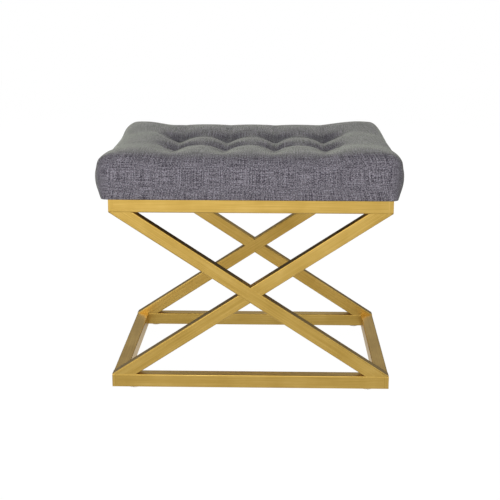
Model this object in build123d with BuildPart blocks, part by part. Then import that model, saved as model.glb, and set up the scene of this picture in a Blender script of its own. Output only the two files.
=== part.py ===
from build123d import *
from math import asin, atan2, cos, degrees, hypot, pi, sin, sqrt, tan
import os

os.makedirs("parts", exist_ok=True)

# A tufted footstool: a cushion seat on a welded base of square tube with an X in its front and its rear panel.
# Millimetres, origin on the floor under the middle of the seat, +Z up, front towards -Y.

# Base frame
frame_width = 520.0  # over the ends of the rails
frame_depth = 440.0  # over the front and rear panels
frame_height = 360.0  # underside of the bottom rails to the top of the top rails
tube_size = 25.0
tube_wall = 1.5
tube_corner = 2.0  # outside corner radius of the tube
cap_thickness = 2.0

# Floor glides
glide_thickness = 2.0
glide_radius = 9.0
glide_inset = 40.0  # rail end to the middle of the glide
stem_radius = 3.0
stem_length = 6.0
stem_clearance = 0.2

# Corner plates and seat bolts
plate_leg = 62.0
plate_tip = 10.0  # blunt end of each leg
plate_thickness = 3.0
bolt_inset = 22.0  # inner corner of the frame to the bolt, both ways
bolt_radius = 3.0
bolt_clearance = 0.4
bolt_reach = 0.5  # bolt end below the top of its nut
head_radius = 5.8  # corners of the hexagon
head_height = 4.0
nut_radius = 5.8
nut_thickness = 5.0
nut_clearance = 0.25

# Seat
seat_overhang = 9.0  # bottom edge of the cover beyond the frame
seat_height = 87.0  # top of the frame to the crown
seat_corner = 30.0  # corner radius of the seat in plan
corner_ease = 1.0  # corner rounding runs out this far clear of the flat sides
fabric_thickness = 2.0
padding_side = 9.0  # soft layer over the edge of the board
padding_foot = 3.0  # soft layer left under the foot of a tuft
board_thickness = 15.0
return_width = 40.0  # fabric turned under the board
return_corner = 6.0
dust_thickness = 0.6
dust_clearance = 2.0  # dust cover to the inside of the rails

# Shape of the seat's sides: heights above the frame, and how far out or in from the bottom edge
bulge_height, bulge_out = 43.0, 9.5
shoulder_height, shoulder_out = 57.0, 6.5
border_height, border_in = 80.0, 24.0
crown_in = 65.0

# Tufts
tuft_columns = 4
tuft_rows = 2
tuft_pitch = 95.0  # from column to column
row_pitch = 110.0
tuft_folds = 12  # folds of fabric gathered in each tuft
tuft_mouth = 48.0  # radius where a tuft leaves the crown
knee_radius, knee_depth = 24.0, 9.5  # where its side turns steep
tuft_radius, tuft_depth = 11.0, 27.0  # foot of a tuft
valley_depth = 13.0
valley_reach = 45.0  # half the width of a valley
valley_front, valley_rear = 95.0, 35.0  # a valley runs level this far beyond the tufts
valley_rise = 55.0  # and rises to the crown over this length
rear_slope = 80.0  # width of the slope behind the rear tufts
crease_lift = 0.4  # the mouth of a tuft or valley meets the crown in a slight crease

# Buttons and twine
button_gap = 1.0  # button to the side of the tuft
button_height = 6.0
button_crown = 3.0
twine_radius = 1.2
twine_clearance = 0.3
back_washer_size = 20.0
back_washer_thickness = 1.2
knot_radius = 3.0

# Levels and half sizes that follow from these
half_width = frame_width / 2
half_depth = frame_depth / 2
half_tube = tube_size / 2
tube_bore = tube_size - 2 * tube_wall
rail_base = glide_thickness
frame_top = rail_base + frame_height
board_base = frame_top + fabric_thickness
board_top = board_base + board_thickness
seat_top = frame_top + seat_height
inner_x = half_width - tube_size
inner_y = half_depth - tube_size
foam_top = seat_top - tuft_depth - fabric_thickness - padding_foot
column_x = [tuft_pitch * (i - (tuft_columns - 1) / 2) for i in range(tuft_columns)]
row_y = [row_pitch * (i - (tuft_rows - 1) / 2) for i in range(tuft_rows)]
tuft_points = [(x, y) for x in column_x for y in row_y]
bolt_points = [
    (sx * (inner_x - bolt_inset), sy * (inner_y - bolt_inset))
    for sx in (-1, 1)
    for sy in (-1, 1)
]
glide_points = [
    (sx * (half_width - glide_inset), sy * (half_depth - half_tube))
    for sx in (-1, 1)
    for sy in (-1, 1)
]

# A diagonal fills the panel from rail end to rail end, cut level where it meets the rails
panel_gap = frame_height - 2 * tube_size
lean_angle = atan2(panel_gap, frame_width) + asin(tube_size / hypot(panel_gap, frame_width))
cut_length = tube_size / sin(lean_angle)
panel_middle = rail_base + frame_height / 2
long_enough = frame_width + frame_depth + frame_height
top_z = frame_top - half_tube  # middle of the upper tubes
bottom_z = rail_base + half_tube  # middle of the lower tubes


def save(piece, name):
    piece.part.label = name
    export_step(piece.part, f"parts/{name}.step")


# Section of the square tube, drawn in the open sketch
def tube_section():
    RectangleRounded(tube_size, tube_size, tube_corner)
    Rectangle(tube_bore, tube_bore, mode=Mode.SUBTRACT)


# Tube from front to rear, butted between the two panels
def side_tube(x, z):
    with BuildPart() as piece:
        with BuildSketch(Plane(origin=(x, 0, z), x_dir=(1, 0, 0), z_dir=(0, 1, 0))):
            tube_section()
        extrude(amount=inner_y, both=True)
    return piece


# Rail across the front or rear, with holes under it for the glides where it stands on them
def rail(y, z, on_floor):
    with BuildPart() as piece:
        with BuildSketch(Plane(origin=(0, y, z), x_dir=(0, 1, 0), z_dir=(1, 0, 0))):
            tube_section()
        extrude(amount=half_width, both=True)
        if on_floor:
            with BuildSketch(Plane.XY.offset(rail_base)):
                with Locations((glide_inset - half_width, y), (half_width - glide_inset, y)):
                    RegularPolygon(stem_radius + stem_clearance, 6)
            extrude(amount=tube_wall, mode=Mode.SUBTRACT)
    return piece


# Two plates that close the ends of a rail, set in flush
def rail_end_caps(y, z):
    with BuildPart() as piece:
        for side in (-1, 1):
            mouth = Plane(origin=(side * half_width, y, z), x_dir=(0, 1, 0), z_dir=(-side, 0, 0))
            with BuildSketch(mouth):
                Rectangle(tube_bore, tube_bore)
            extrude(amount=cap_thickness)
    return piece


# Tube that leans across a panel, cut level at the rails and kept in front of each further cut
def diagonal(middle, run, further_cuts):
    with BuildPart() as piece:
        with BuildSketch(Plane(origin=middle, x_dir=(0, 1, 0), z_dir=run)):
            tube_section()
        extrude(amount=long_enough, both=True)
        split(bisect_by=Plane.XY.offset(frame_top - tube_size), keep=Keep.BOTTOM)
        split(bisect_by=Plane.XY.offset(rail_base + tube_size), keep=Keep.TOP)
        for cut in further_cuts:
            split(bisect_by=cut, keep=Keep.TOP)
    return piece


# Welds ground flush: each fills the groove along a tube's rounded edge where another tube butts against it
def panel_welds(middle, run, square_to_long):
    rail_seam = cut_length - 2 * tube_corner / sin(lean_angle)
    cross_seam = (tube_size - 2 * tube_corner) / sin(2 * lean_angle)
    cross_shift = half_tube / tan(2 * lean_angle)
    seam_x = half_width - cut_length / 2
    cross_corner = square_to_long * half_tube + run * cross_shift
    weld_leg = tube_corner * (2 - sqrt(2))
    with BuildPart() as piece:
        for face in (-1, 1):
            inward = Vector(0, -face, 0)
            front = middle - inward * half_tube
            seams = []
            for side in (-1, 1):
                seams.append((front + cross_corner * side, square_to_long * -side, cross_seam))
                for end in (-1, 1):
                    rail_corner = Vector(side * seam_x, 0, end * panel_gap / 2)
                    seams.append((front + rail_corner, Vector(0, 0, end), rail_seam))
            for corner, into_tube, length in seams:
                with BuildSketch(Plane(origin=corner, x_dir=inward, z_dir=inward.cross(into_tube))):
                    with BuildLine():
                        Polyline((0, 0), (weld_leg, 0), (0, weld_leg), close=True)
                    make_face()
                extrude(amount=length / 2, both=True)
    return piece


# Front and rear panels: the same panel, turned round for the rear
for name, facing in (("front", -1), ("rear", 1)):
    panel_y = facing * (half_depth - half_tube)
    long_run = Vector(-facing * cos(lean_angle), 0, -sin(lean_angle))
    cross_run = Vector(facing * cos(lean_angle), 0, -sin(lean_angle))
    square_to_long = Vector(-facing * sin(lean_angle), 0, cos(lean_angle))
    crossing = Vector(0, panel_y, panel_middle)
    save(rail(panel_y, top_z, False), f"{name}_top_rail")
    save(rail(panel_y, bottom_z, True), f"{name}_bottom_rail")
    save(rail_end_caps(panel_y, top_z), f"{name}_top_rail_end_caps")
    save(rail_end_caps(panel_y, bottom_z), f"{name}_bottom_rail_end_caps")
    save(diagonal(crossing, long_run, []), f"{name}_long_diagonal")
    for half_name, side in (("upper", 1), ("lower", -1)):
        away = square_to_long * side
        long_side = Plane(origin=crossing + away * half_tube, x_dir=(0, 1, 0), z_dir=away)
        save(diagonal(crossing, cross_run, [long_side]), f"{name}_{half_name}_half_diagonal")
    save(panel_welds(crossing, long_run, square_to_long), f"{name}_panel_welds")

# Side rails under the seat, and floor stretchers below them
for name, side in (("left", -1), ("right", 1)):
    side_x = side * (half_width - half_tube)
    save(side_tube(side_x, top_z), f"{name}_top_side_rail")
    save(side_tube(side_x, bottom_z), f"{name}_floor_stretcher")

# Corner plates in the top frame, level with the rails
for end_name, sy in (("front", -1), ("rear", 1)):
    for side_name, sx in (("left", -1), ("right", 1)):
        with BuildPart() as corner_plate:
            with BuildSketch(Plane.XY.offset(frame_top)):
                with BuildLine():
                    Polyline(
                        (sx * inner_x, sy * inner_y),
                        (sx * (inner_x - plate_leg), sy * inner_y),
                        (sx * (inner_x - plate_leg), sy * (inner_y - plate_tip)),
                        (sx * (inner_x - plate_tip), sy * (inner_y - plate_leg)),
                        (sx * inner_x, sy * (inner_y - plate_leg)),
                        close=True,
                    )
                make_face()
                with Locations((sx * (inner_x - bolt_inset), sy * (inner_y - bolt_inset))):
                    Circle(bolt_radius + bolt_clearance, mode=Mode.SUBTRACT)
            extrude(amount=-plate_thickness)
        save(corner_plate, f"{end_name}_{side_name}_corner_plate")

# Glides pressed into the bottom rails
with BuildPart() as floor_glides:
    with BuildSketch(Plane.XY):
        with Locations(*glide_points):
            Circle(glide_radius)
    extrude(amount=glide_thickness)
    with BuildSketch(Plane.XY.offset(glide_thickness)):
        with Locations(*glide_points):
            RegularPolygon(stem_radius, 6)
    extrude(amount=stem_length)
save(floor_glides, "floor_glides")

# Bolts through the corner plates, and their nuts let into the top of the seat board
plate_base = frame_top - plate_thickness
with BuildPart() as seat_bolts:
    with BuildSketch(Plane.XY.offset(plate_base)):
        with Locations(*bolt_points):
            RegularPolygon(head_radius, 6)
    extrude(amount=-head_height)
    with BuildSketch(Plane.XY.offset(plate_base)):
        with Locations(*bolt_points):
            Circle(bolt_radius)
    extrude(amount=board_top - bolt_reach - plate_base)
save(seat_bolts, "seat_bolts")

with BuildPart() as seat_nuts:
    with BuildSketch(Plane.XY.offset(board_top)):
        with Locations(*bolt_points):
            RegularPolygon(nut_radius, 6)
            Circle(bolt_radius + nut_clearance, mode=Mode.SUBTRACT)
    extrude(amount=-nut_thickness)
save(seat_nuts, "seat_nuts")


# Part of a tuft's hollow, from the crown or its knee down: folds that fall from one radius to a smaller one
def folds(start, depth, radius, next_radius):
    flat = cos(pi / tuft_folds)  # a fold's flat lies this share of the corner radius out
    with BuildPart() as hollow:
        with BuildSketch(Plane.XY.offset(crease_lift - start)):
            RegularPolygon(radius, tuft_folds)
        extrude(amount=start - crease_lift - depth)
        floor = hollow.faces().sort_by(Axis.Z)[0]
        chamfer(floor.edges(), (radius - next_radius) * flat, depth - start, reference=floor)
    return hollow


# The seat's outer form drawn in by an even inset: bulging sides, crown, valleys and the flared tufts
def seat_form(inset):
    top = seat_top - inset
    knee = knee_radius + inset / 2
    mouth_folds = folds(0, knee_depth, tuft_mouth, knee)
    throat_folds = folds(knee_depth, tuft_depth, knee, tuft_radius + inset)
    across = Plane(origin=(0, 0, frame_top), x_dir=(1, 0, 0), z_dir=(0, -1, 0))
    along = Plane(origin=(0, 0, frame_top), x_dir=(0, 1, 0), z_dir=(1, 0, 0))
    with BuildPart() as form:
        # Front and side profiles, each drawn right through the other
        for view, half, joining in ((across, half_width, Mode.ADD), (along, half_depth, Mode.INTERSECT)):
            edge = half + seat_overhang
            with BuildSketch(view):
                with BuildLine():
                    Line((0, 0), (edge, 0))
                    bulge = ThreePointArc(
                        (edge, 0), (edge + bulge_out, bulge_height), (edge + shoulder_out, shoulder_height)
                    )
                    shoulder = TangentArc(bulge @ 1, (edge - border_in, border_height), tangent=bulge % 1)
                    Polyline(shoulder @ 1, (edge - crown_in, seat_height), (0, seat_height))
                    mirror(about=Plane.YZ)
                make_face()
                if inset > 0:
                    offset(amount=-inset, kind=Kind.INTERSECTION)
            extrude(amount=long_enough, both=True, mode=joining)
        # Rounded corners in plan
        with BuildSketch(Plane.XY.offset(frame_top)):
            RectangleRounded(
                frame_width + 2 * (seat_overhang + bulge_out + corner_ease - inset),
                frame_depth + 2 * (seat_overhang + bulge_out + corner_ease - inset),
                seat_corner - inset,
            )
        extrude(amount=seat_height, mode=Mode.INTERSECT)
        # Valleys from side to side along the rows, and from front to rear along the columns, with rising ends
        radius = (valley_reach**2 + (valley_depth + crease_lift) ** 2) / (2 * (valley_depth + crease_lift))
        swing = degrees(asin(valley_reach / radius))
        lifted = top + valley_depth + crease_lift
        level_front = row_y[0] - valley_front
        level_rear = row_y[-1] + valley_rear
        routes = [[(column_x[0], y, top), (column_x[-1], y, top)] for y in row_y]
        for x in column_x:
            front_end = (x, level_front - valley_rise, lifted)
            rear_end = (x, level_rear + valley_rise, lifted)
            routes.append([front_end, (x, level_front, top), (x, level_rear, top), rear_end])
        for route in routes:
            with BuildLine() as course:
                Polyline(*route)
            ahead = course.line % 0
            with BuildSketch(Plane(origin=route[0], x_dir=(-ahead.Y, ahead.X, 0), z_dir=ahead)):
                with BuildLine():
                    CenterArc((valley_reach, crease_lift - radius), radius, 90, swing)
                    Polyline((0, -valley_depth), (0, crease_lift), (valley_reach, crease_lift))
                make_face()
                mirror(about=Plane.YZ)
            sweep(path=course.wires()[0], transition=Transition.RIGHT, mode=Mode.SUBTRACT)
        # Slope behind the rear tufts
        with BuildSketch(Plane(origin=(0, row_y[-1], top), x_dir=(0, 1, 0), z_dir=(1, 0, 0))):
            Polygon((0, -valley_depth), (rear_slope, crease_lift), (0, crease_lift), align=None)
        extrude(amount=column_x[-1] + corner_ease, both=True, mode=Mode.SUBTRACT)
        # Tufts
        with Locations(*[(x, y, top) for x, y in tuft_points]):
            add(mouth_folds.part, mode=Mode.SUBTRACT)
            add(throat_folds.part, mode=Mode.SUBTRACT)
    return form


cover_outside = seat_form(0)
cover_inside = seat_form(fabric_thickness)
board_width = frame_width + 2 * (seat_overhang - fabric_thickness - padding_side)
board_depth = frame_depth + 2 * (seat_overhang - fabric_thickness - padding_side)
board_corner = seat_corner - fabric_thickness - padding_side
needle_radius = twine_radius + twine_clearance

# Fabric cover: over the padding, down the sides and turned under the board
with BuildPart() as fabric_cover:
    add(cover_outside.part)
    add(cover_inside.part, mode=Mode.SUBTRACT)
    with BuildSketch(Plane.XY.offset(frame_top)):
        RectangleRounded(
            frame_width + 2 * (seat_overhang - return_width),
            frame_depth + 2 * (seat_overhang - return_width),
            return_corner,
        )
    extrude(amount=fabric_thickness, mode=Mode.SUBTRACT)
    with BuildSketch(Plane.XY.offset(seat_top - tuft_depth)):
        with Locations(*tuft_points):
            RegularPolygon(needle_radius, 6)
    extrude(amount=-fabric_thickness, mode=Mode.SUBTRACT)
save(fabric_cover, "fabric_cover")

# Soft padding under the cover, over the foam and round the edge of the board
with BuildPart() as soft_padding:
    add(cover_inside.part)
    with BuildSketch(Plane.XY.offset(board_base)):
        RectangleRounded(board_width, board_depth, board_corner)
    extrude(amount=foam_top - board_base, mode=Mode.SUBTRACT)
    with BuildSketch(Plane.XY.offset(foam_top)):
        with Locations(*tuft_points):
            RegularPolygon(needle_radius, 6)
    extrude(amount=padding_foot, mode=Mode.SUBTRACT)
save(soft_padding, "soft_padding")

# Foam block on the board
with BuildPart() as seat_foam:
    with BuildSketch(Plane.XY.offset(board_top)):
        RectangleRounded(board_width, board_depth, board_corner)
        with Locations(*tuft_points):
            RegularPolygon(needle_radius, 6, mode=Mode.SUBTRACT)
    extrude(amount=foam_top - board_top)
save(seat_foam, "seat_foam")

# Plywood seat board, drilled for the twine and the bolts and let in for the nuts
with BuildPart() as seat_board:
    with BuildSketch(Plane.XY.offset(board_base)):
        RectangleRounded(board_width, board_depth, board_corner)
        with Locations(*tuft_points):
            RegularPolygon(needle_radius, 6, mode=Mode.SUBTRACT)
        with Locations(*bolt_points):
            Circle(bolt_radius + bolt_clearance, mode=Mode.SUBTRACT)
    extrude(amount=board_thickness)
    with BuildSketch(Plane.XY.offset(board_top)):
        with Locations(*bolt_points):
            RegularPolygon(nut_radius + nut_clearance, 6)
    extrude(amount=-nut_thickness, mode=Mode.SUBTRACT)
save(seat_board, "seat_board")

# Covered buttons at the foot of the tufts
button_radius = tuft_radius - button_gap
button_base = seat_top - tuft_depth
with BuildPart() as tuft_buttons:
    with BuildSketch(Plane.XY.offset(button_base)):
        with Locations(*tuft_points):
            RegularPolygon(button_radius, 16)
    extrude(amount=button_height)
    chamfer(tuft_buttons.edges().group_by(Axis.Z)[-1], button_crown)
save(tuft_buttons, "tuft_buttons")

# Back washers under the board, and the twine that runs from each button to its knot under the washer
with BuildPart() as tuft_back_washers:
    with BuildSketch(Plane.XY.offset(board_base)):
        with Locations(*tuft_points):
            Rectangle(back_washer_size, back_washer_size)
            RegularPolygon(needle_radius, 6, mode=Mode.SUBTRACT)
    extrude(amount=-back_washer_thickness)
save(tuft_back_washers, "tuft_back_washers")

with BuildPart() as tuft_twines:
    with BuildSketch(Plane.XY.offset(button_base)):
        with Locations(*tuft_points):
            RegularPolygon(twine_radius, 6)
    extrude(amount=board_base - back_washer_thickness - button_base)
    with BuildSketch(Plane.XY.offset(board_base - back_washer_thickness)):
        with Locations(*tuft_points):
            RegularPolygon(knot_radius, 6)
    extrude(amount=frame_top - board_base + back_washer_thickness)
save(tuft_twines, "tuft_twines")

# Dust cover stretched across the underside inside the rails, its corners cut off beside the corner plates
with BuildPart() as dust_cover:
    with BuildSketch(Plane.XY.offset(frame_top)):
        Rectangle(2 * (inner_x - dust_clearance), 2 * (inner_y - dust_clearance))
    extrude(amount=-dust_thickness)
    chamfer(dust_cover.edges().filter_by(Axis.Z), plate_leg + plate_tip)
save(dust_cover, "dust_cover")
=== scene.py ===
import math

import bmesh
import bpy
import numpy as np
from mathutils import Matrix, Vector


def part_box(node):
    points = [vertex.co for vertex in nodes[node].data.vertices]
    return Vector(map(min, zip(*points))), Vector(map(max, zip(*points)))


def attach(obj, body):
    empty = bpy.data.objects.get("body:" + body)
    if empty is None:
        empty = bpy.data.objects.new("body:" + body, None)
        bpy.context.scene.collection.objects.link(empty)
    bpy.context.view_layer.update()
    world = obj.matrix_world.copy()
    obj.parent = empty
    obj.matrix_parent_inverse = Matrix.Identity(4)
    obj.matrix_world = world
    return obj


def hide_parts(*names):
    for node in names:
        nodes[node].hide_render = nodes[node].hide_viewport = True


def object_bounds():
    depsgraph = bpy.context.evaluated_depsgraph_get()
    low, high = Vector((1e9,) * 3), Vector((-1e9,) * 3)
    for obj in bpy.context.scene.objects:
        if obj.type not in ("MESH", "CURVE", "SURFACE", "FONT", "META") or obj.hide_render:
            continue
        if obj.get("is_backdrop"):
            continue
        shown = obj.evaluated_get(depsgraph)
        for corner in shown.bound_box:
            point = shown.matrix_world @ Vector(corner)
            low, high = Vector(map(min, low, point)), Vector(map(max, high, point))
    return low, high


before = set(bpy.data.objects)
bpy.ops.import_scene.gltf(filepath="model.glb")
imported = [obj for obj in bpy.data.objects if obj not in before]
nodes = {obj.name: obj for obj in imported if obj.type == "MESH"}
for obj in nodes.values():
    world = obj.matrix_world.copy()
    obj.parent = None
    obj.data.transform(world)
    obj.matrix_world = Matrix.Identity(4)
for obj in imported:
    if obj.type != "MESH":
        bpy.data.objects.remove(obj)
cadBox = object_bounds()
scene = bpy.context.scene
mm = 0.001
print("frame loaded, nodes:", len(nodes))

# camera, solved from the straight edges of the frame
camera = {
    "place": (0.04836, -2.35872, 0.76432),
    "yaw": -1.318,  # degrees, to the right
    "pitch": 13.047,  # degrees, downwards
    "roll": -0.108,
    "lens": 86.26,  # mm on a 36 mm sensor
}


def placeCamera(settings):
    yaw, pitch, roll = (math.radians(settings[key]) for key in ("yaw", "pitch", "roll"))
    ahead = Vector((math.sin(yaw) * math.cos(pitch), math.cos(yaw) * math.cos(pitch), -math.sin(pitch)))
    right = Vector((math.cos(yaw), -math.sin(yaw), 0))
    down = ahead.cross(right)
    rolledRight = right * math.cos(roll) + down * math.sin(roll)
    rolledDown = down * math.cos(roll) - right * math.sin(roll)
    data = bpy.data.cameras.new("camera")
    data.sensor_width = 36
    data.lens = settings["lens"]
    view = bpy.data.objects.new("camera", data)
    turn = Matrix((rolledRight, -rolledDown, -ahead)).transposed()
    view.matrix_world = Matrix.Translation(settings["place"]) @ turn.to_4x4()
    scene.collection.objects.link(view)
    scene.camera = view


placeCamera(camera)

# light and stage
studio = {
    "worldLight": 0.25,
    "wall": 0.08,  # what metal sees of the dim walls behind the lights
    "wallTop": (0.2, 0.55),  # sine of the elevation where the walls end and the white ceiling starts
    "key": {"place": (-0.7, -3.0, 0.8), "size": 1.6, "power": 29, "hidden": True},
    "gleam": {"place": (-0.5, -3.0, 0.8), "size": 2.8, "power": 37},  # the part of the key that metal sees
    "fill": {"place": (1.7, -2.1, 1.0), "size": 1.6, "power": 8, "hidden": True},
    "top": {"place": (0.5, 3.0, 1.85), "size": 1.4, "power": 42, "hidden": True},
    "aim": 0.35,  # height that the lamps point at
    "floorReach": 6.0,
    "floorColour": (0.36, 0.36, 0.36, 1),
    "floorWhite": 1.1,  # strength of the white that the camera sees
    "floorGlow": 0.9,  # share of plain white that the floor shows to the camera
    "floorMirrored": (0.82, 0.34),  # what metal sees of the floor, in front and behind
    "floorTurn": (-0.1, 0.7),  # where the floor changes from front to behind
}


def newNode(tree, kind, **settings):
    node = tree.nodes.new(kind)
    for key, value in settings.items():
        setattr(node, key, value)
    return node


def calc(tree, operation, first, second=0.0, clamp=False):
    node = newNode(tree, "ShaderNodeMath", operation=operation, use_clamp=clamp)
    for socket, value in zip(node.inputs, (first, second)):
        if isinstance(value, (int, float)):
            socket.default_value = value
        else:
            tree.links.new(value, socket)
    return node.outputs[0]


def seenDirectly(tree):  # camera, glossy and transmission rays see the white studio
    path = newNode(tree, "ShaderNodeLightPath")
    total = calc(tree, "ADD", path.outputs["Is Camera Ray"], path.outputs["Is Glossy Ray"])
    return calc(tree, "ADD", total, path.outputs["Is Transmission Ray"], clamp=True)


def lightWorld():
    world = bpy.data.worlds.new("studio")
    scene.world = world
    world.use_nodes = True
    tree = world.node_tree
    tree.nodes.clear()
    output = newNode(tree, "ShaderNodeOutputWorld")
    mix = newNode(tree, "ShaderNodeMixShader")
    soft = newNode(tree, "ShaderNodeBackground")
    soft.inputs["Color"].default_value = (1, 1, 1, 1)
    soft.inputs["Strength"].default_value = studio["worldLight"]
    white = newNode(tree, "ShaderNodeBackground")
    white.inputs["Color"].default_value = (1, 1, 1, 1)
    path = newNode(tree, "ShaderNodeLightPath")
    coords = newNode(tree, "ShaderNodeTexCoord")
    split = newNode(tree, "ShaderNodeSeparateXYZ")
    tree.links.new(coords.outputs["Generated"], split.inputs[0])
    ceiling = newNode(tree, "ShaderNodeMapRange", interpolation_type="SMOOTHSTEP")
    ceiling.inputs["From Min"].default_value, ceiling.inputs["From Max"].default_value = studio["wallTop"]
    ceiling.inputs["To Min"].default_value = studio["wall"]
    tree.links.new(split.outputs["Z"], ceiling.inputs["Value"])
    plainWhite = calc(tree, "MAXIMUM", path.outputs["Is Camera Ray"], ceiling.outputs["Result"])
    tree.links.new(plainWhite, white.inputs["Strength"])
    tree.links.new(seenDirectly(tree), mix.inputs[0])
    tree.links.new(soft.outputs[0], mix.inputs[1])
    tree.links.new(white.outputs[0], mix.inputs[2])
    tree.links.new(mix.outputs[0], output.inputs["Surface"])


def addLamp(name, settings):
    data = bpy.data.lights.new(name, "AREA")
    data.shape = "DISK"
    data.size = settings["size"]
    data.energy = settings["power"]
    lamp = bpy.data.objects.new(name, data)
    place = Vector(settings["place"])
    lamp.location = place
    lamp.rotation_euler = (Vector((0, 0, studio["aim"])) - place).to_track_quat("-Z", "Y").to_euler()
    lamp.visible_glossy = not settings.get("hidden", False)
    scene.collection.objects.link(lamp)


def makeFloor():
    mesh = bpy.data.meshes.new("floor")
    reach = studio["floorReach"]
    corners = [(-reach, -reach, 0), (reach, -reach, 0), (reach, reach, 0), (-reach, reach, 0)]
    mesh.from_pydata(corners, [], [(0, 1, 2, 3)])
    floor = bpy.data.objects.new("floor", mesh)
    scene.collection.objects.link(floor)
    material = bpy.data.materials.new("paleFloor")
    material.use_nodes = True
    tree = material.node_tree
    tree.nodes.clear()
    output = newNode(tree, "ShaderNodeOutputMaterial")
    paint = newNode(tree, "ShaderNodeBsdfDiffuse")
    paint.inputs["Color"].default_value = studio["floorColour"]
    glow = newNode(tree, "ShaderNodeEmission")
    glow.inputs["Color"].default_value = (1, 1, 1, 1)
    path = newNode(tree, "ShaderNodeLightPath")
    coords = newNode(tree, "ShaderNodeTexCoord")
    split = newNode(tree, "ShaderNodeSeparateXYZ")
    tree.links.new(coords.outputs["Object"], split.inputs[0])
    mirrored = newNode(tree, "ShaderNodeMapRange", interpolation_type="SMOOTHSTEP")
    mirrored.inputs["From Min"].default_value, mirrored.inputs["From Max"].default_value = studio["floorTurn"]
    mirrored.inputs["To Min"].default_value, mirrored.inputs["To Max"].default_value = studio["floorMirrored"]
    tree.links.new(split.outputs["Y"], mirrored.inputs["Value"])
    strength = newNode(tree, "ShaderNodeMix", data_type="FLOAT")
    tree.links.new(path.outputs["Is Glossy Ray"], strength.inputs[0])
    strength.inputs[2].default_value = studio["floorWhite"]
    tree.links.new(mirrored.outputs["Result"], strength.inputs[3])
    tree.links.new(strength.outputs[0], glow.inputs["Strength"])
    mix = newNode(tree, "ShaderNodeMixShader")
    tree.links.new(calc(tree, "MULTIPLY", seenDirectly(tree), studio["floorGlow"]), mix.inputs[0])
    tree.links.new(paint.outputs[0], mix.inputs[1])
    tree.links.new(glow.outputs[0], mix.inputs[2])
    tree.links.new(mix.outputs[0], output.inputs["Surface"])
    mesh.materials.append(material)
    floor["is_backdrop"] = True


lightWorld()
addLamp("keyLight", studio["key"])
addLamp("gleamLight", studio["gleam"])
addLamp("fillLight", studio["fill"])
addLamp("topLight", studio["top"])
makeFloor()
scene.view_settings.view_transform = "Standard"
print("camera, light and floor set")


# shared shader effects
def newGroup(name, inputs, outputs):
    tree = bpy.data.node_groups.new(name, "ShaderNodeTree")
    for label, kind, value in inputs:
        socket = tree.interface.new_socket(name=label, in_out="INPUT", socket_type=kind)
        if value is not None:
            socket.default_value = value
    for label, kind in outputs:
        tree.interface.new_socket(name=label, in_out="OUTPUT", socket_type=kind)
    return tree, newNode(tree, "NodeGroupInput"), newNode(tree, "NodeGroupOutput")


def noiseAt(tree, vector, scale, detail=2.0, roughness=0.5):
    noise = newNode(tree, "ShaderNodeTexNoise")
    noise.inputs["Scale"].default_value = scale
    noise.inputs["Detail"].default_value = detail
    noise.inputs["Roughness"].default_value = roughness
    tree.links.new(vector, noise.inputs["Vector"])
    return noise.outputs["Fac"]


def stretched(tree, vector, scale):
    mapping = newNode(tree, "ShaderNodeVectorMath", operation="MULTIPLY")
    tree.links.new(vector, mapping.inputs[0])
    mapping.inputs[1].default_value = scale
    return mapping.outputs[0]


linen = {
    "yarn": 1.4 * mm,  # from yarn to yarn
    "slub": (820, 25),  # changes per metre across and along a yarn
    "fleck": (900, 330),
    "detail": (2.0, 1.0),  # of slubs and flecks
    "shares": (0.43, 0.57),  # of slubs and flecks in a yarn's shade
    "gapLevel": 0.64,  # yarn height below which painted shade darkens the gaps
    "gapPaintedShade": 0.35,
    "yarnRelief": 0.6,
    "slubRelief": 0.8,
}


def yarnsOneWay(tree, cloth, turned):  # slubs and flecks of the yarns that run one way
    parts = []
    for scale, detail, share in zip((linen["slub"], linen["fleck"]), linen["detail"], linen["shares"]):
        size = scale[::-1] if turned else scale
        noise = noiseAt(tree, stretched(tree, cloth, (*size, 1)), 1.0, detail, 0.5)
        parts.append(calc(tree, "MULTIPLY", noise, share))
    return calc(tree, "ADD", *parts)


def linenWeave():  # plain weave with slubby yarns both ways, on flat cloth coordinates in metres
    tree, entry, result = newGroup(
        "linenWeave",
        [("Cloth", "NodeSocketVector", None), ("Slub", "NodeSocketFloat", 1.0)],
        [("Shade", "NodeSocketFloat"), ("Height", "NodeSocketFloat")],
    )
    cloth = entry.outputs["Cloth"]
    yarns = 1 / linen["yarn"]
    checker = newNode(tree, "ShaderNodeTexChecker")
    checker.inputs["Scale"].default_value = yarns
    tree.links.new(cloth, checker.inputs["Vector"])
    over = checker.outputs["Fac"]
    split = newNode(tree, "ShaderNodeSeparateXYZ")
    tree.links.new(stretched(tree, cloth, (yarns * math.pi, yarns * math.pi, 1)), split.inputs[0])
    warpRound = calc(tree, "ABSOLUTE", calc(tree, "SINE", split.outputs["X"]))
    weftRound = calc(tree, "ABSOLUTE", calc(tree, "SINE", split.outputs["Y"]))
    under = calc(tree, "SUBTRACT", 1.0, over)
    yarnHeight = calc(
        tree, "ADD", calc(tree, "MULTIPLY", warpRound, over), calc(tree, "MULTIPLY", weftRound, under)
    )
    warpShade, weftShade = (yarnsOneWay(tree, cloth, turned) for turned in (False, True))
    yarnShade = calc(
        tree, "ADD", calc(tree, "MULTIPLY", warpShade, 0.5), calc(tree, "MULTIPLY", weftShade, 0.5)
    )
    centred = calc(tree, "MULTIPLY", calc(tree, "SUBTRACT", yarnShade, 0.5), entry.outputs["Slub"])
    # painted shade in the low gaps between the yarns
    gap = calc(tree, "MULTIPLY", calc(tree, "SUBTRACT", yarnHeight, linen["gapLevel"]), linen["gapPaintedShade"])
    shade = calc(tree, "ADD", calc(tree, "ADD", centred, 0.5), gap, clamp=True)
    tree.links.new(shade, result.inputs["Shade"])
    yarnRelief = calc(tree, "MULTIPLY", yarnHeight, linen["yarnRelief"])
    height = calc(tree, "ADD", yarnRelief, calc(tree, "MULTIPLY", yarnShade, linen["slubRelief"]))
    tree.links.new(height, result.inputs["Height"])
    return tree


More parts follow.
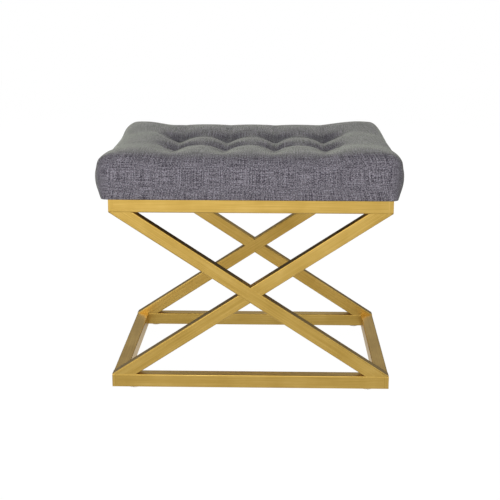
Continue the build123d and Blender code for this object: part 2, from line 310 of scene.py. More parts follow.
brushing = {
    "fine": (9, 1100, 1100),  # streaks per metre, along and across
    "coarse": (6, 620, 620),
    "fineShare": 0.6,
    "coarseShare": 0.4,
    "blotches": 14.0,  # per metre
}


def brushedGrain():  # fine streaks along X of the given coordinates, with soft blotches
    tree, entry, result = newGroup(
        "brushedGrain",
        [("Vector", "NodeSocketVector", None), ("Streak", "NodeSocketFloat", 1.0)],
        [("Streaks", "NodeSocketFloat"), ("Blotches", "NodeSocketFloat"), ("Height", "NodeSocketFloat")],
    )
    vector = entry.outputs["Vector"]
    fine = noiseAt(tree, stretched(tree, vector, brushing["fine"]), 1.0, 2.0, 0.6)
    coarse = noiseAt(tree, stretched(tree, vector, brushing["coarse"]), 1.0, 3.0, 0.6)
    finePart = calc(tree, "MULTIPLY", fine, brushing["fineShare"])
    streaks = calc(tree, "ADD", finePart, calc(tree, "MULTIPLY", coarse, brushing["coarseShare"]))
    centred = calc(tree, "MULTIPLY", calc(tree, "SUBTRACT", streaks, 0.5), entry.outputs["Streak"])
    tree.links.new(calc(tree, "ADD", centred, 0.5, clamp=True), result.inputs["Streaks"])
    tree.links.new(noiseAt(tree, vector, brushing["blotches"], 3.0, 0.55), result.inputs["Blotches"])
    tree.links.new(streaks, result.inputs["Height"])
    return tree


weaveGroup = linenWeave()
grainGroup = brushedGrain()


def useGroup(tree, group, **values):
    node = newNode(tree, "ShaderNodeGroup", node_tree=group)
    for label, value in values.items():
        if isinstance(value, (int, float)):
            node.inputs[label].default_value = value
        else:
            tree.links.new(value, node.inputs[label])
    return node


def ramp(tree, factor, stops):
    node = newNode(tree, "ShaderNodeValToRGB")
    while len(node.color_ramp.elements) < len(stops):
        node.color_ramp.elements.new(0.5)
    for element, (at, colour) in zip(node.color_ramp.elements, stops):
        element.position = at
        element.color = (*colour, 1)
    tree.links.new(factor, node.inputs["Fac"])
    return node.outputs["Color"]


def bumped(tree, height, distance, strength):
    bump = newNode(tree, "ShaderNodeBump")
    bump.inputs["Strength"].default_value = strength
    bump.inputs["Distance"].default_value = distance
    tree.links.new(height, bump.inputs["Height"])
    return bump.outputs["Normal"]


def newMaterial(name, **constants):
    material = bpy.data.materials.new(name)
    material.use_nodes = True
    tree = material.node_tree
    shader = next(node for node in tree.nodes if node.type == "BSDF_PRINCIPLED")
    for label, value in constants.items():
        shader.inputs[label.replace("_", " ")].default_value = value
    return material, tree, shader


def spread(tree, factor, low, high):  # a 0 to 1 value spread over low to high
    node = newNode(tree, "ShaderNodeMapRange")
    node.inputs["To Min"].default_value = low
    node.inputs["To Max"].default_value = high
    tree.links.new(factor, node.inputs["Value"])
    return node.outputs["Result"]


# satin gold tube
gold = {
    "dark": (0.49, 0.31, 0.068),
    "plain": (0.585, 0.38, 0.092),
    "pale": (0.68, 0.465, 0.135),
    "stops": (0.34, 0.5, 0.66),  # tones of dark, plain and pale
    "streak": 1.5,
    "streakShare": 0.6,  # of streaks in the tone, the rest is blotches
    "roughness": (0.26, 0.40),
    "grain": 0.55,
    "grainDepth": 0.02 * mm,
    "endStreak": 2.2,
    "endLength": 11 * mm,  # of the rail ends that are ground across
    "endSharpness": 400.0,
}
diagonal = {"rise": 310, "run": 520, "tube": 25}  # mm, between the rails of a panel


def goldMetal(name, turn, ends=None):
    material, tree, shader = newMaterial(name, Metallic=1.0)
    coords = newNode(tree, "ShaderNodeTexCoord")
    mapping = newNode(tree, "ShaderNodeMapping")
    mapping.inputs["Rotation"].default_value = turn
    tree.links.new(coords.outputs["Object"], mapping.inputs["Vector"])
    grain = useGroup(tree, grainGroup, Vector=mapping.outputs[0], Streak=gold["streak"])
    streaks, blotches = grain.outputs["Streaks"], grain.outputs["Blotches"]
    if ends:  # the ends of the rails are ground across
        across = newNode(tree, "ShaderNodeMapping")
        across.inputs["Rotation"].default_value = (0, math.radians(90), 0)
        tree.links.new(coords.outputs["Object"], across.inputs["Vector"])
        crossGrain = useGroup(tree, grainGroup, Vector=across.outputs[0], Streak=gold["endStreak"])
        split = newNode(tree, "ShaderNodeSeparateXYZ")
        tree.links.new(coords.outputs["Object"], split.inputs[0])
        away = calc(tree, "SUBTRACT", calc(tree, "ABSOLUTE", split.outputs["X"]), ends)
        mask = calc(tree, "MULTIPLY", away, gold["endSharpness"], clamp=True)
        blend = newNode(tree, "ShaderNodeMix", data_type="FLOAT")
        tree.links.new(mask, blend.inputs[0])
        tree.links.new(streaks, blend.inputs[2])
        tree.links.new(crossGrain.outputs["Streaks"], blend.inputs[3])
        streaks = blend.outputs[0]
    streakTone = calc(tree, "MULTIPLY", streaks, gold["streakShare"])
    tone = calc(tree, "ADD", streakTone, calc(tree, "MULTIPLY", blotches, 1 - gold["streakShare"]))
    colour = ramp(tree, tone, list(zip(gold["stops"], (gold["dark"], gold["plain"], gold["pale"]))))
    tree.links.new(colour, shader.inputs["Base Color"])
    tree.links.new(spread(tree, tone, *gold["roughness"]), shader.inputs["Roughness"])
    tree.links.new(bumped(tree, streaks, gold["grainDepth"], gold["grain"]), shader.inputs["Normal"])
    return material


def giveMaterial(node, material):
    mesh = nodes[node].data
    mesh.materials.clear()
    mesh.materials.append(material)


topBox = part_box("front_top_rail")
slope = math.atan2(diagonal["rise"], diagonal["run"])
lean = slope + math.asin(diagonal["tube"] / math.hypot(diagonal["rise"], diagonal["run"]))
goldAlongX = goldMetal("goldRail", (0, 0, 0), ends=topBox[1].x - gold["endLength"])
goldAlongY = goldMetal("goldSideTube", (0, 0, math.radians(90)))
goldDown = goldMetal("goldFallingDiagonal", (0, -lean, 0))
goldUp = goldMetal("goldRisingDiagonal", (0, lean, 0))
for end in ("front", "rear"):
    for piece in ("top_rail", "bottom_rail", "top_rail_end_caps", "bottom_rail_end_caps", "panel_welds"):
        giveMaterial(f"{end}_{piece}", goldAlongX)
    for side in ("left", "right"):
        giveMaterial(f"{end}_{side}_corner_plate", goldAlongX)
for side in ("left", "right"):
    giveMaterial(f"{side}_top_side_rail", goldAlongY)
    giveMaterial(f"{side}_floor_stretcher", goldAlongY)
giveMaterial("front_long_diagonal", goldDown)
giveMaterial("rear_long_diagonal", goldUp)
for half in ("upper", "lower"):
    giveMaterial(f"front_{half}_half_diagonal", goldUp)
    giveMaterial(f"rear_{half}_half_diagonal", goldDown)
print("gold frame finished")


# small hardware, board and glides
speckle = {"stops": (0.35, 0.65), "detail": 4.0, "roughness": 0.6, "bump": 0.4}


def plainGrain(name, dark, light, scale, bumpDepth, **constants):
    material, tree, shader = newMaterial(name, **constants)
    coords = newNode(tree, "ShaderNodeTexCoord")
    vector = stretched(tree, coords.outputs["Object"], scale)
    speck = noiseAt(tree, vector, 1.0, speckle["detail"], speckle["roughness"])
    colour = ramp(tree, speck, list(zip(speckle["stops"], (dark, light))))
    tree.links.new(colour, shader.inputs["Base Color"])
    tree.links.new(bumped(tree, speck, bumpDepth, speckle["bump"]), shader.inputs["Normal"])
    return material


zincSteel = plainGrain(
    "zincSteel", (0.42, 0.42, 0.43), (0.6, 0.6, 0.6), (300, 300, 300), 0.03 * mm, Metallic=1.0, Roughness=0.38
)
plywood = plainGrain(
    "plywood", (0.45, 0.29, 0.15), (0.66, 0.49, 0.3), (6, 90, 900), 0.1 * mm, Roughness=0.62
)
glidePlastic = plainGrain(
    "glidePlastic", (0.7, 0.69, 0.66), (0.8, 0.79, 0.76), (900, 900, 900), 0.05 * mm, Roughness=0.5
)
twineCotton = plainGrain(
    "twineCotton", (0.6, 0.56, 0.48), (0.8, 0.77, 0.7), (500, 500, 2500), 0.2 * mm, Roughness=0.9
)
for node in ("seat_bolts", "seat_nuts", "tuft_back_washers"):
    giveMaterial(node, zincSteel)
giveMaterial("seat_board", plywood)
giveMaterial("floor_glides", glidePlastic)
giveMaterial("tuft_twines", twineCotton)


# upholstery fabric
cloth = {
    "dark": (0.05, 0.045, 0.058),
    "plain": (0.155, 0.143, 0.168),
    "light": (0.36, 0.34, 0.385),
    "stops": (0.2, 0.5, 0.85),  # shades of dark, plain and light
    "slub": 6.0,
    "relief": 0.6,
    "reliefDepth": 0.4 * mm,
    "paintedShadeInFold": (0.56, 0.56, 0.6),  # share of colour left by the painted shade where the cloth is drawn into a tuft
}


def linenFabric():
    material, tree, shader = newMaterial(
        "greyLinen",
        Roughness=0.85,
        Specular_IOR_Level=0.2,
        Sheen_Weight=0.48,
        Sheen_Roughness=0.3,
        Sheen_Tint=(0.95, 1.0, 0.82, 1),
    )
    uv = newNode(tree, "ShaderNodeUVMap", uv_map="cloth")
    weave = useGroup(tree, weaveGroup, Cloth=uv.outputs[0], Slub=cloth["slub"])
    stops = list(zip(cloth["stops"], (cloth["dark"], cloth["plain"], cloth["light"])))
    # the fold attribute darkens the base colour: painted shade in the tuft folds
    fold = newNode(tree, "ShaderNodeAttribute", attribute_name="fold")
    shaded = newNode(tree, "ShaderNodeMix", data_type="RGBA", blend_type="MULTIPLY")
    tree.links.new(fold.outputs["Fac"], shaded.inputs["Factor"])
    tree.links.new(ramp(tree, weave.outputs["Shade"], stops), shaded.inputs["A"])
    shaded.inputs["B"].default_value = (*cloth["paintedShadeInFold"], 1)
    tree.links.new(shaded.outputs["Result"], shader.inputs["Base Color"])
    relief = bumped(tree, weave.outputs["Height"], cloth["reliefDepth"], cloth["relief"])
    tree.links.new(relief, shader.inputs["Normal"])
    return material


greyLinen = linenFabric()

# the cover: top grid with tufts, bulging sides and a return under the board
tuft = {
    "pitch": 95.0,  # mm, from column to column
    "rowPitch": 110.0,
    "shift": (-1.5, -2.0),
    "bottom": 60.0,  # height above the frame
    "top": 80.0,  # height that a pit sinks from
    "mouth": 9.0,
    "reach": 38.0,
    "rearReach": 48.0,  # behind the rear row
    "rearTurn": (-5, 15),  # where a rear pit changes from its front to its rear form
    "steepness": (1.9, 1.5),  # in front and at the rear
    "pleats": 9,
    "pleatDepth": 1.1,
    "pleatStart": (8, 16),  # from the tuft's middle
    "pleatEnd": (18, 42),
    "pleatTurn": (31, 17),  # radians per metre, so that no two tufts are alike
}
seat = {
    "base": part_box("fabric_cover")[0].z,
    "halfWidth": 252 * mm,  # where the top meets the sides
    "halfDepth": 212 * mm,
    "corner": 9 * mm,  # of the top grid
    "columns": [(tuft["pitch"] * k + tuft["shift"][0]) * mm for k in (-1.5, -0.5, 0.5, 1.5)],
    "rows": [(tuft["rowPitch"] * k + tuft["shift"][1]) * mm for k in (-0.5, 0.5)],
    "between": 20,  # grid lines from tuft to tuft
    "outerColumns": 21,  # grid lines from the last tuft to the side
    "outerRows": 33,
    "crest": 83.5,  # mm above the frame, in the middle pillows
    "border": 85.0,
    "edge": 80.0,
    "valley": 13.5,
    "rearValley": 16.5,
    "frontDrop": 3.0,
    "cornerLift": {(-1, -1): (4.0, 120), (1, -1): (7.0, 120), (-1, 1): (7.0, 165), (1, 1): (8.0, 120)},
    "peak": 1.5,  # of the left rear corner
    "rearRise": 2.2,
    "pull": {"left": -1.5, "right": -3.5, "front": 1.5, "rear": 2.0},  # sides drawn in between the corners
    "fuller": {(-1, -1): 2.0, (1, -1): 1.5, (-1, 1): 2.0, (1, 1): -2.0},  # corners that bulge more or less
    "shoulders": {(-1, -1): (6.0, 90), (1, -1): (6.0, 40), (-1, 1): (4.0, 120)},  # fuller above the bulge
    "aside": -2.5,  # the whole cover sits a little to the left
    "fabric": 1.6 * mm,
}
spans = {  # plan distances in mm between which the top changes its form
    "borderX": (120, 215),  # from the middle pillows to the border
    "borderY": (40, 130),
    "fallStart": (180, 140),
    "fallRun": 72,
    "fallPower": 2.5,
    "liftEnd": 228,  # corners
    "liftY": (70, 190),
    "peakX": (215, 252),
    "peakY": (165, 212),
    "riseX": (-190, -130),
    "riseY": (120, 205),
    "outerColumn": 60,  # reach of the folds outside the tufts
    "outerRow": 82,
    "frontFade": (130, 212),  # where folds run out
    "rearFade": (90, 190),
    "rearFadeShare": 0.87,
    "sideFade": (135, 200),
    "between": (0.42, 0.8),  # depth of a fold half way between two tufts, front and rear
    "behind": (0, 40),  # from the rear row to the slope behind it
    "rearSlope": (0, 98),
    "foldBlend": 2.2,
    "frontDrop": (40, -110),
}
drawn = {  # how the sides are drawn in, mm
    "raised": (4, 30),  # height above the frame
    "sideReach": 215,
    "endReach": 255,
    "nearSide": 270,
    "nearEnd": 230,
    "limit": 1.1,
    "sharpness": 8,
    "fullerFrom": (-60, 200),
    "shoulderHeight": (56, 77),
    "shoulderRun": 85,
}
foldShadeMask = {  # mask of the painted shade on the cloth that is drawn into the tufts, mm
    "height": (78, 66),
    "reach": (215, 165),
    "frontShare": 0.15,  # the front row is shallower, so its painted shade is lighter
    "turn": (-40, 20),
}
flank = {  # profile of the sides in mm: out from the top grid's edge, height above the frame
    "edge": (0.0, 80.0),
    "bulge": (26.5, 44.0),
    "foot": (18.2, 1.5),
    "fullness": (14.3, 2.5, 18.5),  # upper curve: out and down from the edge, upright above the bulge
    "taper": (16.0, 4.0, 14.0),  # lower curve: upright below the bulge, out and up from the foot
    "upperRings": 9,
    "lowerRings": 8,
    "hem": 0.3,  # height of the return under the board
    "returns": (17.4, 12.0, 0.0, -12.0, -26.0),
    "plainCorner": 8.5,  # radius in plan
    "fullCorner": 17.5,  # more radius at the bulge
    "cornerSpan": 39.0,
    "settle": 45 * mm,  # distance down the side in which the edge's own height evens out
}


def smooth(low, high, value):
    t = np.clip((value - low) / (high - low), 0, 1)
    return t * t * (3 - 2 * t)


def topHeight(x, y):  # height of the top above the frame, mm, at plan points in mm
    ax, ay = np.abs(x), np.abs(y)
    outwards = np.maximum(smooth(*spans["borderX"], ax), smooth(*spans["borderY"], ay))
    crown = seat["crest"] + (seat["border"] - seat["crest"]) * outwards
    fallX, fallY = spans["fallStart"]
    fall = np.maximum(np.maximum(ax - fallX, 0), np.maximum(ay - fallY, 0)) / spans["fallRun"]
    fall = fall ** spans["fallPower"] * (seat["border"] - seat["edge"])
    lift = sum(
        amount * smooth(start, spans["liftEnd"], x * sx) * smooth(*spans["liftY"], y * sy)
        for (sx, sy), (amount, start) in seat["cornerLift"].items()
    )
    lift = lift + seat["peak"] * smooth(*spans["peakX"], -x) * smooth(*spans["peakY"], y)
    lift = lift + seat["rearRise"] * smooth(*spans["riseX"], x) * smooth(*spans["riseY"], y)
    columnGap = np.min([np.abs(x - c / mm) for c in seat["columns"]], axis=0)
    rowGap = np.min([np.abs(y - r / mm) for r in seat["rows"]], axis=0)
    half, halfRow = tuft["pitch"] / 2, tuft["rowPitch"] / 2
    columnReach = np.where(np.abs(x - tuft["shift"][0]) > half * 3, spans["outerColumn"], half)
    rowReach = np.where(np.abs(y - tuft["shift"][1]) > halfRow, spans["outerRow"], halfRow)
    frontFade = 1 - smooth(*spans["frontFade"], ay)
    rearFade = 1 - spans["rearFadeShare"] * smooth(*spans["rearFade"], ay)
    columnValley = np.clip(1 - columnGap / columnReach, 0, 1) ** 2 * np.where(y < 0, frontFade, rearFade)
    nearColumn = np.clip(1 - columnGap / half, 0, 1)
    spanShare = np.where(y < 0, *spans["between"])
    behind = smooth(*spans["behind"], y - tuft["shift"][1] - halfRow)
    rearSlope = (1 - smooth(*spans["rearSlope"], rowGap)) * behind * seat["rearValley"] / seat["valley"]
    rowValley = np.clip(1 - rowGap / rowReach, 0, 1) ** 2 * (1 - behind) + rearSlope
    rowValley = rowValley * (spanShare + (1 - spanShare) * nearColumn) * (1 - smooth(*spans["sideFade"], ax))
    blend = spans["foldBlend"]
    dip = seat["valley"] * (columnValley**blend + rowValley**blend) ** (1 / blend)
    height = crown - fall - dip + lift - seat["frontDrop"] * smooth(*spans["frontDrop"], y)
    frontSteep, rearSteep = tuft["steepness"]
    turnX, turnY = tuft["pleatTurn"]
    for c in seat["columns"]:
        for r in seat["rows"]:
            radius = np.hypot(x - c / mm, y - r / mm)
            rear = smooth(*tuft["rearTurn"], y - r / mm) * (r > 0)
            reach = tuft["reach"] + (tuft["rearReach"] - tuft["reach"]) * rear
            steep = frontSteep + (rearSteep - frontSteep) * rear
            pull = np.clip(1 - (radius - tuft["mouth"]) / reach, 0, 1) ** steep
            height = height + pull * (tuft["bottom"] - np.minimum(height, tuft["top"]))
            turn = np.arctan2(y - r / mm, x - c / mm) * tuft["pleats"] + c * turnX + r * turnY
            window = smooth(*tuft["pleatStart"], radius) * (1 - smooth(*tuft["pleatEnd"], radius))
            height = height + tuft["pleatDepth"] * window * np.cos(turn)
    return height


def linesAcross(stops, between, outer, edge):
    inner = np.linspace(stops[0], stops[-1], between * (len(stops) - 1) + 1)
    low = np.linspace(-edge, stops[0], outer + 1)[:-1]
    high = np.linspace(stops[-1], edge, outer + 1)[1:]
    return np.concatenate([low, inner, high])


def plan(x, y, out, radius):  # plan point with rounded corners, moved out by a distance
    first = seat["corner"]
    coreX, coreY = seat["halfWidth"] - first, seat["halfDepth"] - first
    p = np.clip((np.abs(x) - coreX) / first, 0, 1)
    q = np.clip((np.abs(y) - coreY) / first, 0, 1)
    roundP = p * np.sqrt(1 - q * q / 2)
    roundQ = q * np.sqrt(1 - p * p / 2)
    shareX = (seat["halfWidth"] + out - radius) / coreX
    shareY = (seat["halfDepth"] + out - radius) / coreY
    newX = np.sign(x) * (np.minimum(np.abs(x), coreX) * shareX + radius * roundP)
    newY = np.sign(y) * (np.minimum(np.abs(y), coreY) * shareY + radius * roundQ)
    return newX, newY


def curve(points, count):  # points along a cubic curve, without its start
    t = np.linspace(0, 1, count + 1)[1:, None]
    a, b, c, d = (np.array(point) for point in points)
    return a * (1 - t) ** 3 + 3 * b * t * (1 - t) ** 2 + 3 * c * t**2 * (1 - t) + d * t**3


def sideProfile():  # rings of the sides: out, height and corner radius in plan
    edge, bulge, foot = flank["edge"], flank["bulge"], flank["foot"]
    run, drop, rise = flank["fullness"]
    upright, flare, lift = flank["taper"]
    upper = curve([edge, (run, edge[1] - drop), (bulge[0], bulge[1] + rise), bulge], flank["upperRings"])
    lower = curve(
        [bulge, (bulge[0], bulge[1] - upright), (foot[0] + flare, foot[1] + lift), foot], flank["lowerRings"]
    )
    under = np.array([(out, flank["hem"]) for out in flank["returns"]])
    rings = np.concatenate([[edge], upper, lower, under])
    bow = np.clip(1 - ((rings[:, 1] - bulge[1]) / flank["cornerSpan"]) ** 2, 0, 1)
    return np.column_stack([rings, flank["plainCorner"] + flank["fullCorner"] * bow])


def drawnIn(points):  # sides pulled in between the corners, which bulge more or less
    x, y, z = points[:, 0] / mm, points[:, 1] / mm, (points[:, 2] - seat["base"]) / mm
    pull = seat["pull"]
    raised = smooth(*drawn["raised"], z)
    alongY = np.clip(1 - (y / drawn["sideReach"]) ** 2, 0, 1)
    alongX = np.clip(1 - (x / drawn["endReach"]) ** 2, 0, 1)
    nearSide = np.clip(np.abs(x) / drawn["nearSide"], 0, drawn["limit"]) ** drawn["sharpness"]
    nearEnd = np.clip(np.abs(y) / drawn["nearEnd"], 0, drawn["limit"]) ** drawn["sharpness"]
    sideways = np.where(x < 0, pull["left"], -pull["right"]) * nearSide * alongY * raised
    endways = np.where(y < 0, pull["front"], -pull["rear"]) * nearEnd * alongX * raised
    fuller = sum(
        amount * sx * (x * sx > 0) * smooth(*drawn["fullerFrom"], y * sy)
        for (sx, sy), amount in seat["fuller"].items()
    )
    high = smooth(*drawn["shoulderHeight"], z)
    for (sx, sy), (amount, start) in seat["shoulders"].items():
        toCorner = smooth(start, start + drawn["shoulderRun"], y * sy)
        fuller = fuller + amount * sx * (x * sx > 0) * toCorner * high
    points[:, 0] += (sideways + fuller * nearSide * raised + seat["aside"]) * mm
    points[:, 1] += endways * mm
    return points


def coverGrid():
    xs = linesAcross(seat["columns"], seat["between"], seat["outerColumns"], seat["halfWidth"])
    ys = linesAcross(seat["rows"], seat["between"], seat["outerRows"], seat["halfDepth"])
    nx, ny = len(xs), len(ys)
    gridX, gridY = np.meshgrid(xs, ys, indexing="ij")
    px, py = plan(gridX, gridY, 0.0, seat["corner"])
    pz = seat["base"] + topHeight(px / mm, py / mm) * mm
    points = list(np.stack([px, py, pz], axis=-1).reshape(-1, 3))
    flat = list(np.stack([gridX, gridY], axis=-1).reshape(-1, 2))
    faces = [
        (i * ny + j, (i + 1) * ny + j, (i + 1) * ny + j + 1, i * ny + j + 1)
        for i in range(nx - 1)
        for j in range(ny - 1)
    ]
    rim = [(i, 0) for i in range(nx - 1)] + [(nx - 1, j) for j in range(ny - 1)]
    rim += [(i, ny - 1) for i in range(nx - 1, 0, -1)] + [(0, j) for j in range(ny - 1, 0, -1)]
    above = [i * ny + j for i, j in rim]
    rimX = np.array([xs[i] for i, j in rim])
    rimY = np.array([ys[j] for i, j in rim])
    rimZ = np.array([points[k][2] for k in above])
    profile = sideProfile()
    lead = rimZ - seat["base"] - profile[0][1] * mm  # the rim follows the top's own edge height
    run = 0.0
    for before, (out, height, radius) in zip(profile, profile[1:]):
        run += math.hypot(out - before[0], height - before[1]) * mm
        ringX, ringY = plan(rimX, rimY, out * mm, radius * mm)
        ringZ = seat["base"] + height * mm + lead * max(0.0, 1 - run / flank["settle"])
        start = len(points)
        points += list(np.stack([ringX, ringY, ringZ], axis=-1))
        sideways = np.abs(rimX) / seat["halfWidth"] >= 0.9999
        endways = np.abs(rimY) / seat["halfDepth"] >= 0.9999
        flatX = rimX + np.where(sideways, np.sign(rimX) * run, 0)
        flatY = rimY + np.where(endways, np.sign(rimY) * run, 0)
        flat += list(np.stack([flatX, flatY], axis=-1))
        count = len(rim)
        below = list(range(start, start + count))
        faces += [(above[k], below[k], below[(k + 1) % count], above[(k + 1) % count]) for k in range(count)]
        above = below
    # painted shade mask, strongest where the cloth is drawn deep into the tufts
    fold = np.zeros(len(points))
    reachX, reachY = foldShadeMask["reach"]
    inside = (np.abs(px) < reachX * mm) & (np.abs(py) < reachY * mm)
    front = foldShadeMask["frontShare"]
    byRow = front + (1 - front) * smooth(*foldShadeMask["turn"], py / mm)
    fold[: nx * ny] = (smooth(*foldShadeMask["height"], (pz - seat["base"]) / mm) * inside * byRow).ravel()
    return drawnIn(np.array(points)), np.array(flat), fold, faces, (nx, ny, len(rim))


def meshObject(name, points, faces, flat=None):
    mesh = bpy.data.meshes.new(name)
    mesh.from_pydata([tuple(p) for p in points], [], faces)
    if flat is not None:
        layer = mesh.uv_layers.new(name="cloth")
        corners = np.empty(len(mesh.loops), dtype=np.int32)
        mesh.loops.foreach_get("vertex_index", corners)
        layer.data.foreach_set("uv", flat[corners].astype(np.float32).ravel())
    mesh.polygons.foreach_set("use_smooth", [True] * len(mesh.polygons))
    mesh.update()
    piece = bpy.data.objects.new(name, mesh)
    scene.collection.objects.link(piece)
    return piece


def applied(piece):  # the evaluated mesh becomes the piece's own, with no modifier left
    graph = bpy.context.evaluated_depsgraph_get()
    result = bpy.data.meshes.new_from_object(piece.evaluated_get(graph))
    piece.modifiers.clear()
    old = piece.data
    piece.data = result
    bpy.data.meshes.remove(old)
    return piece


swell = {
    "pressure": 3.0,
    "frames": 20,
    "cap": 2.5 * mm,
    "slack": -0.002,
    "evened": 30,  # rounds of averaging over neighbours, so that no sharp crease is left
    "quality": 6,
    "mass": 0.25,
    "stretch": 18,
    "shear": 8,
    "bending": 0.6,
    "stapled": 3,  # mm above the frame, up to where the cover is held
    "tied": 11,  # mm round a tuft
}


def evened(mesh, move, held):  # a movement averaged over neighbouring points, with held points still
    ends = np.empty(len(mesh.edges) * 2, dtype=np.int32)
    mesh.edges.foreach_get("vertices", ends)
    here = np.concatenate([ends[0::2], ends[1::2]])
    there = np.concatenate([ends[1::2], ends[0::2]])
    neighbours = np.bincount(here, minlength=len(move))
    for _ in range(swell["evened"]):
        totals = [np.bincount(here, weights=move[there, axis], minlength=len(move)) for axis in range(3)]
        move = np.stack(totals, axis=-1) / neighbours[:, None]
        move[held > 0] = 0
    return move


def swollen(piece, held):  # cloth simulation with the tufts and the bottom edge held, movement capped
    before = np.empty(len(piece.data.vertices) * 3)
    piece.data.vertices.foreach_get("co", before)
    before = before.reshape(-1, 3)
    group = piece.vertex_groups.new(name="held")
    for index in np.nonzero(held > 0)[0]:
        group.add([int(index)], float(held[index]), "REPLACE")
    cloth = piece.modifiers.new("cloth", "CLOTH")
    settings = cloth.settings
    settings.quality = swell["quality"]
    settings.mass = swell["mass"]
    settings.tension_stiffness = settings.compression_stiffness = swell["stretch"]
    settings.shear_stiffness = swell["shear"]
    settings.bending_stiffness = swell["bending"]
    settings.vertex_group_mass = "held"
    settings.shrink_min = swell["slack"]
    settings.use_pressure = True
    settings.uniform_pressure_force = swell["pressure"]
    settings.effector_weights.gravity = 0
    cloth.collision_settings.use_collision = False
    cloth.collision_settings.use_self_collision = False
    cloth.point_cache.frame_start = 1
    cloth.point_cache.frame_end = swell["frames"]
    for number in range(1, swell["frames"] + 1):
        scene.frame_set(number)
    applied(piece)
    after = np.empty(len(before) * 3)
    piece.data.vertices.foreach_get("co", after)
    move = evened(piece.data, after.reshape(-1, 3) - before, held)
    far = np.linalg.norm(move, axis=1)
    share = np.tanh(far / swell["cap"]) * swell["cap"] / np.maximum(far, 1e-9)
    piece.data.vertices.foreach_set("co", (before + move * share[:, None]).ravel())
    piece.data.update()
    scene.frame_set(1)
    print("cloth moved up to", round(float(far.max()) / mm, 1), "mm, mean", round(float(far.mean()) / mm, 1))


def heldPoints(points):  # 1 where the cover is tied down or stapled
    height = (points[:, 2] - seat["base"]) / mm
    held = np.where(height < swell["stapled"], 1.0, 0.0)
    for c in seat["columns"]:
        for r in seat["rows"]:
            radius = np.hypot(points[:, 0] - c - seat["aside"] * mm, points[:, 1] - r) / mm
            held = np.maximum(held, np.where(radius < swell["tied"], 1.0, 0.0))
    return held


coverPoints, coverFlat, coverFoldShade, coverFaces, coverCounts = coverGrid()
cover = meshObject("seat_cover", coverPoints, coverFaces, coverFlat)
cover.data.attributes.new("fold", "FLOAT", "POINT").data.foreach_set("value", coverFoldShade.astype(np.float32))
cover.data.materials.append(greyLinen)
print("cover grid:", len(coverPoints), "points")
swollen(cover, heldPoints(coverPoints))

# soft padding under the cover, closed over the foam
padding = {
    "gap": 2.4 * mm,  # from the outside of the cover
    "foot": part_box("seat_board")[0].z + 0.3 * mm,
    "inside": Vector((258.3 * mm, 218.3 * mm, 0)),
    "ceiling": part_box("seat_foam")[1].z + 0.3 * mm,
    "rings": flank["upperRings"] + flank["lowerRings"],  # of the cover's sides that the padding follows
}


def softPadding():
    nx, ny, around = coverCounts
    outside = nx * ny + around * padding["rings"]
    mesh = cover.data
    points = np.empty(len(mesh.vertices) * 3)
    normals = np.empty(len(mesh.vertices) * 3)
    mesh.vertices.foreach_get("co", points)
    mesh.vertices.foreach_get("normal", normals)
    inner = points.reshape(-1, 3)[:outside] - normals.reshape(-1, 3)[:outside] * padding["gap"]
    inner[:, 2] = np.maximum(inner[:, 2], padding["foot"])
    edge = inner[-around:]
    wall = edge.copy()
    for axis, reach in enumerate(padding["inside"].xy):
        sides = edge[:, axis]
        wall[:, axis] *= np.where(sides < 0, -reach / sides.min(), reach / sides.max())
    wall[:, 2] = padding["foot"]
    lid = wall.copy()
    lid[:, 2] = padding["ceiling"]
    faces = [face for face in coverFaces if max(face) < outside]
    for start in (outside - around, outside):
        for k in range(around):
            after = (k + 1) % around
            faces.append((start + k, start + around + k, start + around + after, start + after))
    faces.append(tuple(range(outside + around, outside + 2 * around)))
    piece = meshObject("seat_padding", np.concatenate([inner, wall, lid]), faces)
    return piece


wadding = plainGrain(
    "wadding", (0.72, 0.72, 0.7), (0.9, 0.9, 0.88), (160, 160, 160), 0.8 * mm, Roughness=0.95
)
pad = softPadding()
pad.data.materials.append(wadding)
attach(pad, "root")
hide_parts("soft_padding")

subdivide = cover.modifiers.new("soften", "SUBSURF")
subdivide.levels = subdivide.render_levels = 1
shell = cover.modifiers.new("thickness", "SOLIDIFY")
shell.thickness = seat["fabric"]
shell.offset = -1
applied(cover)
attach(cover, "root")
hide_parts("fabric_cover")
print("cover done, faces:", len(cover.data.polygons))


# foam block on the board, pierced for the twines
foam = {
    "box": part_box("seat_foam"),
    "corner": 19 * mm,
    "edge": 1.2 * mm,
    "hole": 1.9 * mm,  # radius
    "drill": 0.2,  # length, well past both faces
}


def foamBlock():
    low, high = foam["box"]
    build = bmesh.new()
    bmesh.ops.create_cube(build, size=1.0)
    for vertex in build.verts:
        vertex.co = [low[k] + (vertex.co[k] + 0.5) * (high[k] - low[k]) for k in range(3)]
    upright = [edge for edge in build.edges if abs(edge.verts[0].co.z - edge.verts[1].co.z) > mm]
    bmesh.ops.bevel(build, geom=upright, offset=foam["corner"], segments=8, profile=0.5, affect="EDGES")
    rims = [edge for edge in build.edges if abs(edge.verts[0].co.z - edge.verts[1].co.z) < mm]
    rims = [edge for edge in rims if any(len(face.verts) > 4 for face in edge.link_faces)]
    bmesh.ops.bevel(build, geom=rims, offset=foam["edge"], segments=2, profile=0.5, affect="EDGES")
    mesh = bpy.data.meshes.new("foam_block")
    build.to_mesh(mesh)
    build.free()
    piece = bpy.data.objects.new("foam_block", mesh)
    scene.collection.objects.link(piece)
    return piece


